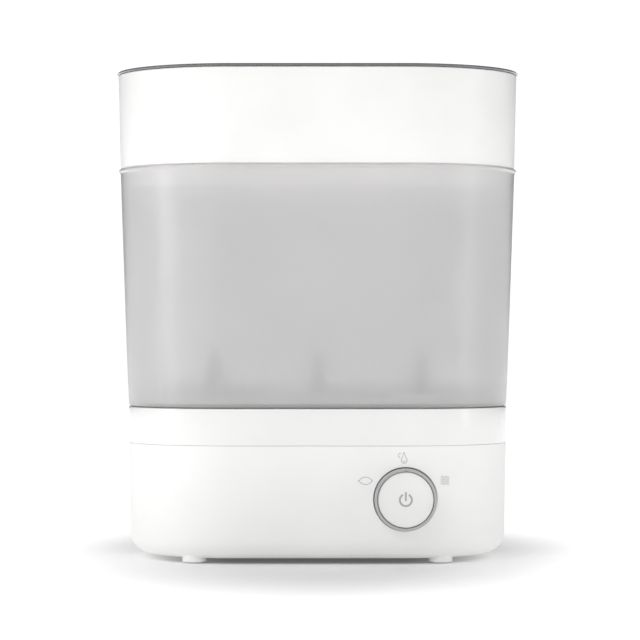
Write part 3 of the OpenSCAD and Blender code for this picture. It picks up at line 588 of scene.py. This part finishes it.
@dataclass
class LargeBasket:
    """The frosted basket that the bottles stand in.

    Attributes:
        shells: the shared sizes.
        bead_out: how far the bead at its top stands out.
        ledge_r: inner corner radius of the ledge that carries the rack.
    """

    shells: Shells
    bead_out: float = 1.2
    ledge_r: float = 66.0

    def section(self) -> list[Point]:
        """Closed wall section: plug, outer wall, bead, inner wall, ledge."""
        s = self.shells
        z0, lip, plug = s.base_top + s.seat_gap, s.basket_top, s.base_top_r - 4.0
        return [
            *arc((plug - 1.2, z0 - 6.4), 0.6, 180, 270, 3), *arc((plug - 0.6, z0 - 6.4), 0.6, 270, 360, 3),
            (plug, z0 - 0.5), *arc((plug + 0.5, z0 - 0.5), 0.5, 180, 90, 3)[1:],
            *arc((s.large_r(z0) - 2.5, z0 + 2.5), 2.5, -90, 0, 8),
            (s.large_r(lip - 4.2), lip - 4.2),
            *arc((s.large_top_r + 0.7, lip - 3.3), 0.5, 180, 120, 3),
            *arc((s.large_top_r + self.bead_out - 1.2, lip - 1.3), 1.2, -35, 80, 8),
            *arc((s.large_top_r - s.wall + 0.8, lip - 0.7), 0.7, 90, 180, 4),
            (s.large_r(s.base_top + 40) - s.wall, s.base_top + 40),
            *arc((s.large_r(z0 + 4) - s.wall - 1.2, z0 + 3.8), 1.2, 0, -90, 4),
            *arc((self.ledge_r + 0.5, z0 + 2.1), 0.5, 90, 180, 3),
            *arc((self.ledge_r + 0.5, z0 + 0.9), 0.5, 180, 270, 3),
            (plug - 1.8, z0 + 0.4),
        ]

    def build(self) -> None:
        """Builds the basket."""
        bm = self.shells.plan.sweep(self.section())
        piece = finish_mesh(bm, "large_basket_shell", Finish.FROSTED_PP, "large_basket")
        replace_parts(piece, "large_basket")


@dataclass
class SmallBasket:
    """The white basket over it, with the skirt that drops inside the large one.

    Attributes:
        shells: the shared sizes.
        skirt_drop: how far the skirt reaches below the large basket's top.
        skirt_low_r: corner radius at the skirt's lower round.
        floor_r: corner radius where the ledge meets the skirt inside.
        ledge_r: inner corner radius of the ledge that carries the slotted plate.
        ledge_h: thickness of that ledge.
    """

    shells: Shells
    skirt_drop: float = 14.6
    skirt_low_r: float = 76.9
    floor_r: float = 75.7
    ledge_r: float = 70.0
    ledge_h: float = 2.4

    def section(self) -> list[Point]:
        """Closed wall section."""
        s = self.shells
        z0, top = s.basket_top + s.seat_gap, s.small_top
        low = s.basket_top - self.skirt_drop
        return [
            *arc((self.ledge_r + 0.5, low + 0.5), 0.5, 180, 270, 3),
            *arc((self.skirt_low_r, low + 1.0), 1.0, -90, 0, 4),
            (s.large_top_r - s.wall - 0.4, z0), (s.large_r(z0 - 4) - 0.9, z0),
            *arc((s.small_r(z0) - 0.8, z0 + 0.8), 0.8, -90, 0, 4),
            *arc((s.small_top_r - 0.8, top - 0.8), 0.8, 0, 90, 5),
            *arc((s.small_top_r - s.wall + 0.5, top - 0.5), 0.5, 90, 180, 3),
            *arc((s.small_r(z0) - s.wall - 1.0, z0 + 2.4), 1.0, 0, -60, 4),
            *arc((s.large_top_r - 2 * s.wall + 0.2, z0 - 1.4), 0.9, 120, 180, 3),
            (self.floor_r, low + self.ledge_h), (self.ledge_r, low + self.ledge_h),
        ]

    def build(self) -> None:
        """Builds the basket's wall."""
        bm = self.shells.plan.sweep(self.section())
        piece = finish_mesh(bm, "small_basket_shell", Finish.BAND_PP, "small_basket")
        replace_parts(piece, "small_basket")


@dataclass
class UpperBand:
    """The glossy band round the top of the base.

    Attributes:
        shells: the shared sizes.
        tongue_z: lower end of the tongue that plugs into the housing.
        basin_r: corner radius of the basin inside it.
        deck_z: height of the deck that it rests on.
        ledge_z: lower end of the basin's wall.
    """

    shells: Shells
    tongue_z: float = 77.0
    basin_r: float = 72.8
    deck_z: float = 94.1
    ledge_z: float = 90.3

    def section(self) -> list[Point]:
        """Closed wall section: tongue, outer wall, rolled top edge, basin wall."""
        s = self.shells
        collar, top, edge = s.collar_z + 0.15, s.base_top, 0.9
        inner = s.base_r(self.tongue_z) - s.base_wall
        return [
            (inner - 2.2, self.tongue_z + 0.4), (inner - 1.8, self.tongue_z), (inner - 0.7, self.tongue_z),
            (inner - 0.25, self.tongue_z + 0.45), (s.base_r(collar) - s.base_wall - 0.25, collar),
            *arc((s.base_r(collar) - 0.35, collar + 0.35), 0.35, -90, 0, 4),
            *arc((s.base_top_r - edge, top - edge), edge, 0, 90, 8),
            *arc((self.basin_r + edge, top - edge), edge, 90, 180, 8),
            (self.basin_r, self.deck_z), (self.basin_r + 0.3, self.deck_z), (self.basin_r + 0.3, self.ledge_z),
        ]

    def build(self) -> None:
        """Builds the band."""
        piece = finish_mesh(self.shells.plan.sweep(self.section()), "upper_band_shell", Finish.GLOSS_PP, "base")
        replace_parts(piece, "upper_band")


@dataclass
class Control:
    """The mode knob with its trim ring, the power button inside it and the marks printed round them.

    Attributes:
        shells: sizes of the housing that it stands on.
        centre: right of the middle and up, in millimetres.
        radius: radius of the knob.
        inner: radius of the hole that the button sits in.
        front: distance from the housing's front to the knob's front edge.
        button_r: radius of the button.
        button_front: distance from the housing's front to the button's rim.
        dish: how far the button's face sinks in the middle.
        rim_ribs: number of fine ribs round the rim.
        turn_steps: straight pieces in a full turn.
        ring_r: inner and outer radius of the standby symbol's ring.
    """

    shells: Shells
    centre: Point = (61.2, 46.0)
    radius: float = 21.7
    inner: float = 19.75
    front: float = 8.3
    button_r: float = 19.3
    button_front: float = 7.7
    dish: float = 0.35
    rim_ribs: int = 72
    turn_steps: int = 144
    ring_r: Point = (3.45, 4.85)

    @property
    def wall_y(self) -> float:
        """Front of the housing at the knob's height."""
        return -(self.shells.plan.core_y + self.shells.base_r(self.centre[1]))

    def outwards(self, bm: bmesh.types.BMesh) -> bmesh.types.BMesh:
        """Turns a mesh made round Z so that Z points out of the housing's front at the knob."""
        spot = Matrix.Translation((self.centre[0], self.wall_y, self.centre[1]))
        bmesh.ops.transform(bm, matrix=spot @ Matrix.Rotation(math.pi / 2, 4, "X"), verts=bm.verts)
        return bm

    def knob(self) -> None:
        """The knob: a rolled rim on a sleeve, with fine ribs round the rim for the fingers."""
        r = self.radius
        bm = turned([
            (12.2, -16.9), *arc((12.5, -16.9), 0.3, 180, 270, 2),
            *arc((14.1, -16.9), 0.3, 270, 360, 2), (14.4, -7.0),
            *arc((r - 0.6, -6.4), 0.6, -90, 0, 5), (r, self.front), (self.inner, self.front), (self.inner, -5.0),
            (12.2, -5.0),
        ], self.turn_steps)
        for index in range(self.rim_ribs):
            angle = math.radians((index + 0.5) * 360 / self.rim_ribs)
            spot = Matrix.Translation((math.cos(angle) * (r - 0.12), math.sin(angle) * (r - 0.12), 0.95))
            bmesh.ops.create_cone(bm, cap_ends=True, segments=10, radius1=0.26, radius2=0.26, depth=13.6,
                                  matrix=spot)
        piece = finish_mesh(self.outwards(bm), "mode_knob_rim", Finish.GLOSS_PP, "mode_knob")
        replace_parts(piece, "mode_knob")

    def trim(self) -> None:
        """The satin ring let into the rim, and the pip on it."""
        low, high = self.front, self.front + 0.7
        bm = turned([
            (self.inner, low), (self.radius, low), *arc((self.radius - 0.4, high - 0.4), 0.4, 0, 90, 5),
            *arc((self.inner + 0.35, high - 0.35), 0.35, 90, 180, 5),
        ], self.turn_steps)
        for drop, length in ((0.0, 1.0), (0.5, 0.0), (-0.5, 0.0)):
            spot = Matrix.Translation((0, self.radius - 1.15 + drop, high))
            if length:
                bmesh.ops.create_cube(bm, size=1.0, matrix=spot @ Matrix.Diagonal((0.9, length, 0.24, 1)))
            else:
                bmesh.ops.create_cone(bm, cap_ends=True, segments=24, radius1=0.45, radius2=0.45, depth=0.24,
                                      matrix=spot)
        piece = finish_mesh(self.outwards(bm), "knob_trim_ring", Finish.TRIM, "mode_knob")
        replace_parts(piece, "knob_trim")

    def face(self, r: float) -> float:
        """Height of the button's gently dished face at a radius."""
        return self.button_front - self.dish * max(0.0, 1 - (r / (self.button_r - 0.8)) ** 2)

    def button(self) -> None:
        """The button: a dished disc with a rolled edge, on its stem."""
        back, edge = self.button_front - 2.2, 0.8
        bm = turned([
            (0.0, -15.9), (3.2, -15.9), (3.5, -15.6), (3.5, back), (self.button_r - 0.3, back),
            (self.button_r, back + 0.3), *arc((self.button_r - edge, self.button_front - edge), edge, 0, 90, 7),
            *[(r, self.face(r)) for r in (17.0, 15.0, 12.5, 10.0, 7.5, 5.0, 2.5, 0.0)],
        ], self.turn_steps, closed=False)
        piece = finish_mesh(self.outwards(bm), "power_button_disc", Finish.GLOSS_PP, "power_button")
        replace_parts(piece, "power_button")

    def power_mark(self) -> None:
        """Standby symbol on the button: an open ring and an upright bar."""
        z = self.face(4.2) - 0.02
        bm = bmesh.new()
        low, high = self.ring_r
        corners = ((low, z), (high, z), (high, z + 0.07), (low, z + 0.07))
        section = [Vector((r, 0, h)) for r, h in corners]
        edges = wire(bm, section, True)
        start = bmesh.ops.contextual_create(bm, geom=edges)["faces"]
        bmesh.ops.rotate(bm, verts=bm.verts, cent=(0, 0, 0), matrix=Matrix.Rotation(math.radians(120), 3, "Z"))
        bmesh.ops.spin(bm, geom=start + start[0].edges[:] + start[0].verts[:], cent=(0, 0, 0), axis=(0, 0, 1),
                       angle=math.radians(300), steps=60)
        spot = Matrix.Translation((0, 2.4, z - 0.02)) @ Matrix.Diagonal((1.3, 6.2, 0.16, 1))
        bmesh.ops.create_cube(bm, size=1.0, matrix=spot)
        finish_mesh(self.outwards(bm), "power_mark", Finish.INK, "power_button")

    def on_wall(self, x: float, z: float) -> float:
        """Depth of the housing's face at a place on its front or its right-hand corner."""
        plan, reach = self.shells.plan, self.shells.base_r(z)
        past = max(0.0, x - plan.core_x)
        return -plan.core_y - math.sqrt(reach * reach - past * past)

    def icon(self, name: str, angle: float, reach: float, strokes: list[list[Point]],
             width: float = 0.55) -> None:
        """Prints one line drawing on the housing.

        Args:
            name: the piece's name.
            angle: where it stands round the knob, in degrees from the right, upwards.
            reach: its distance from the knob's centre.
            strokes: its lines, as points about its own centre.
            width: thickness of the lines.
        """
        at = (self.centre[0] + reach * math.cos(math.radians(angle)),
              self.centre[1] + reach * math.sin(math.radians(angle)))
        data = bpy.data.curves.new(name, "CURVE")
        data.dimensions, data.bevel_depth, data.bevel_resolution, data.use_fill_caps = "3D", width / 2, 2, True
        for line in strokes:
            spline = data.splines.new("POLY")
            spline.points.add(len(line) - 1)
            for point, (x, z) in zip(spline.points, line):
                point.co = (at[0] + x, 0.0, at[1] + z, 1.0)
        drawn = bpy.data.objects.new(name + "_line", data)
        bm = bmesh.new()
        bm.from_mesh(drawn.to_mesh())
        for vert in bm.verts:
            vert.co.y = self.on_wall(vert.co.x, vert.co.z) - 0.02 + vert.co.y * 0.2
        bpy.data.objects.remove(drawn)
        finish_mesh(bm, name, Finish.PALE_INK, "base")

    def build(self) -> None:
        """Builds the control."""
        self.knob()
        self.trim()
        self.button()
        self.power_mark()
        leaf = arc((0, -2.6), 5.2, 150, 30, 10)
        self.icon("mark_dry", 155, 30.6, [leaf, [(x, -z) for x, z in leaf], [(-4.5, 0), (-5.6, 0)],
                                          [(4.4, 0), (4.7, 0.6)]])
        drop = [(0.4, 3.9), *arc((0.6, -1.9), 2.0, 160, 380, 14), (0.4, 3.9)]
        wisp, shine = arc((-1.9, 1.6), 1.5, 80, 260, 8), arc((0.6, -1.9), 0.9, 190, 350, 6)
        self.icon("mark_steam", 93, 29.0, [drop, wisp, shine])
        wave = [(-3.0 + 0.5 * i, 0.6 * math.sin(i * math.pi / 3)) for i in range(13)]
        rows = [[(x, z + shift) for x, z in wave] for shift in (-2.4, -0.8, 0.8, 2.4)]
        self.icon("mark_warm", 25, 30.6, rows)


@dataclass
class Springs:
    """Coil spring under the button, with a closed turn at each end.

    Attributes:
        control: the control that it belongs to.
        wire_r: radius of the wire.
        coil_r: radius of the coil, to the wire's middle.
        low: its inner end, out from the housing's front.
        high: its outer end.
        turns: number of open turns.
        steps: straight pieces in a turn.
        travel: how much shorter the button's press would make it; not used.
    """

    control: Control
    wire_r: float = 0.45
    coil_r: float = 5.6
    low: float = -7.5
    high: float = 5.0
    turns: int = 4
    steps: int = 36
    travel: float = 1.0

    def build(self) -> None:
        """Winds the spring: a closed turn, four open turns and another closed one."""
        bm = bmesh.new()
        ring = [Vector((self.coil_r + x, 0, self.low + z)) for x, z in arc((0, 0), self.wire_r, 0, 330, 11)]
        last = bmesh.ops.contextual_create(bm, geom=wire(bm, ring, True))["faces"]
        closed = 2 * self.wire_r
        pitch = (self.high - self.low - 2 * closed) / self.turns
        for rise, count in ((closed, 1), (pitch, self.turns), (closed, 1)):
            out = bmesh.ops.spin(bm, geom=last + last[0].edges[:] + last[0].verts[:], cent=(0, 0, 0),
                                 axis=(0, 0, 1), dvec=(0, 0, rise / self.steps), angle=2 * math.pi * count,
                                 steps=self.steps * count)
            last = [g for g in out["geom_last"] if isinstance(g, bmesh.types.BMFace)]
        piece = finish_mesh(self.control.outwards(bm), "button_spring_coil", Finish.ZINC, "base")
        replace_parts(piece, "button_spring")
        x, z = self.control.centre
        seat = Vector((x, self.control.wall_y - self.low, z)) * MM
        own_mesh(piece)


@dataclass
class Feet:
    """Four rubber pads with two tread grooves under each.

    Attributes:
        spread: how far their middles stand from the middle of the base, sideways and in depth.
        radius: radius of a pad.
    """

    spread: Point = (86.5, 61.0)
    radius: float = 6.4

    def build(self) -> None:
        """Builds the pads as one piece."""
        whole = bmesh.new()
        r = self.radius
        section = [(0.0, 0.0), (2.2, 0.0), (2.5, 0.4), (3.1, 0.4), (3.4, 0.0), (4.4, 0.0), (4.7, 0.4), (5.1, 0.4),
                   (5.3, 0.0), *arc((r - 0.8, 0.8), 0.8, -90, 0, 6), (r, 2.3), (0.0, 2.3)]
        for sx in (-1, 1):
            for sy in (-1, 1):
                bm = turned(section, 64, closed=False)
                bmesh.ops.translate(bm, vec=(sx * self.spread[0], sy * self.spread[1], 0), verts=bm.verts)
                mesh = bpy.data.meshes.new("pad")
                bm.to_mesh(mesh)
                bm.free()
                whole.from_mesh(mesh)
                bpy.data.meshes.remove(mesh)
        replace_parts(finish_mesh(whole, "rubber_feet_pads", Finish.FOOT_RUBBER, "base"), "rubber_feet")


# ---------------------------------------------------------------- plain dressing


DRESS: dict[Finish, tuple[str, ...]] = {
    Finish.SATIN_PP: ("base_housing", "upper_deck", "bottom_cover", "filter_cover", "air_outlet_cap"),
    Finish.BAND_PP: ("basket_plate", "filter_frame"),
    Finish.RACK_PP: ("bottle_rack", "bottle_pegs"),
    Finish.SMOKE_PP: ("lid",),
    Finish.NYLON: ("fan_housing", "fan_cover", "air_duct", "filter_bay", "knob_retainer", "button_carrier",
                   "cord_gland", "light_guide"),
    Finish.PHENOLIC: ("thermostat", "air_heater_frame", "selector_switch", "tact_switch", "fan_impeller",
                      "board_components"),
    Finish.STAINLESS: ("heating_plate",),
    Finish.STRIP_STEEL: ("plate_bracket", "fan_shaft"),
    Finish.ZINC: ("cover_screws", "bracket_fixings", "fan_screws", "fan_motor", "detent_spring"),
    Finish.CAST_ALUMINIUM: ("heat_spreader", "air_heater_fins"),
    Finish.SHEATH: ("heating_element",),
    Finish.SILICONE: ("plate_seal",),
    Finish.CERAMIC: ("thermal_fuse",),
    Finish.PAPER: ("filter_media",),
    Finish.BOARD: ("control_board", "power_board"),
    Finish.BRASS: ("switch_plunger",),
}


# ---------------------------------------------------------------- studio


@dataclass
class Studio:
    """Floor, lights and camera.

    Attributes:
        front: the surround's brightness on the camera's side.
        behind: its brightness behind the object.
        seen: its brightness where the camera sees it.
        distance: from the object's middle to the camera, in metres.
        height: height of the camera.
        lens: focal length in millimetres.
        shift: the lens's shift to the right and up, as a share of the picture's width.
        floor_size: half width of the floor.
    """

    front: float = 0.63
    behind: float = 0.03
    seen: float = 1.05
    distance: float = 1.9834
    height: float = 0.1645
    lens: float = 153.7
    shift: Point = (2.5 / 640, 9.0 / 640)
    floor_size: float = 6.0

    def camera(self) -> None:
        """Sets the camera straight in front, with verticals kept upright by its shift."""
        data = bpy.data.cameras.new("camera")
        data.lens, data.sensor_width = self.lens, 36.0
        data.shift_x, data.shift_y = self.shift
        data.clip_end = 50.0
        camera = bpy.data.objects.new("camera", data)
        camera.location = (0.0, -self.distance, self.height)
        camera.rotation_euler = (math.pi / 2, 0, 0)
        bpy.context.scene.collection.objects.link(camera)
        bpy.context.scene.camera = camera

    def world(self) -> None:
        """A white surround that lights less than it shows."""
        world = bpy.data.worlds.new("surround")
        bpy.context.scene.world = world
        world.use_nodes = True
        tree = world.node_tree
        back = tree.nodes["Background"]
        facing = add(tree, "SeparateXYZ", {"Vector": add(tree, "TexCoord").outputs["Generated"]})
        soft = add(tree, "MapRange", {"Value": facing.outputs["Y"], 1: -0.5, 2: 0.6,
                                      3: self.front, 4: self.behind})
        ray = add(tree, "LightPath")
        level = add(tree, "Mix", {"Factor": ray.outputs["Is Camera Ray"], "A": soft.outputs["Result"],
                                  "B": self.seen})
        tree.links.new(level.outputs["Result"], back.inputs["Strength"])
        back.inputs["Color"].default_value = (1, 1, 1, 1)

    def floor(self) -> None:
        """Lays the white floor, which glows, with a soft shadow painted round the object."""
        bm = bmesh.new()
        bmesh.ops.create_grid(bm, x_segments=1, y_segments=1, size=self.floor_size)
        mesh = bpy.data.meshes.new("floor")
        bm.to_mesh(mesh)
        bm.free()
        floor = bpy.data.objects.new("floor", mesh)
        bpy.context.scene.collection.objects.link(floor)
        material, tree, shader = blank("glowing_floor_painted_shadow")
        place = add(tree, "TexCoord").outputs["Object"]
        # Painted shadow: the floor's glow falls almost to nothing in an oval round the object and rises away from
        # it. This paints the object's soft shadow on the floor. The glowing floor also lights the object's lower
        # parts.
        painted_shadow_oval = add(tree, "Mapping", {"Vector": place, "Scale": (0.78, 0.42, 1.0)}).outputs["Vector"]
        reach = add(tree, "VectorMath", {0: painted_shadow_oval}, operation="LENGTH").outputs["Value"]
        painted_shadow_glow = add(tree, "MapRange", {"Value": reach, 1: 0.05, 2: 0.2, 3: 0.03, 4: 0.85},
                   interpolation_type="SMOOTHSTEP")
        shader.inputs["Base Color"].default_value = (0.93, 0.93, 0.93, 1)
        shader.inputs["Roughness"].default_value = 0.7
        shader.inputs["Emission Color"].default_value = (1, 1, 1, 1)
        tree.links.new(painted_shadow_glow.outputs["Result"], shader.inputs["Emission Strength"])
        floor.data.materials.append(material)

    def light(self, name: str, power: float, size: Point, place: tuple, aim: tuple) -> None:
        """Hangs one soft rectangular light.

        Args:
            name: its name.
            power: watts.
            size: width and height in metres.
            place: where it hangs.
            aim: the point it faces.
        """
        data = bpy.data.lights.new(name, "AREA")
        data.shape, data.energy = "RECTANGLE", power
        data.size, data.size_y = size
        lamp = bpy.data.objects.new(name, data)
        lamp.location = place
        lamp.rotation_euler = (Vector(aim) - Vector(place)).to_track_quat("-Z", "Y").to_euler()
        bpy.context.scene.collection.objects.link(lamp)

    def build(self) -> None:
        """Sets up the whole studio."""
        self.camera()
        self.world()
        self.floor()
        self.light("left_box", 5.0, (0.4, 1.5), (-1.5, -0.5, 0.55), (0, 0, 0.18))
        self.light("right_box", 2.5, (0.25, 1.5), (1.5, -0.5, 0.55), (0, 0, 0.18))
        self.light("high_box", 6.6, (1.2, 0.9), (-1.1, -1.7, 1.6), (0, 0, 0.1))
        bpy.context.scene.view_settings.view_transform = "Standard"


def main() -> None:
    """Builds and dresses every sub-assembly and the studio."""
    logging.basicConfig(level=logging.INFO, format="%(message)s")
    Studio().build()
    shells = Shells()
    control = Control(shells)
    for part in (UpperBand(shells), LargeBasket(shells), SmallBasket(shells), control, Springs(control), Feet()):
        part.build()
    for finish, nodes in DRESS.items():
        for node in nodes:
            refined(node, finish)


if __name__ == "__main__":
    main()
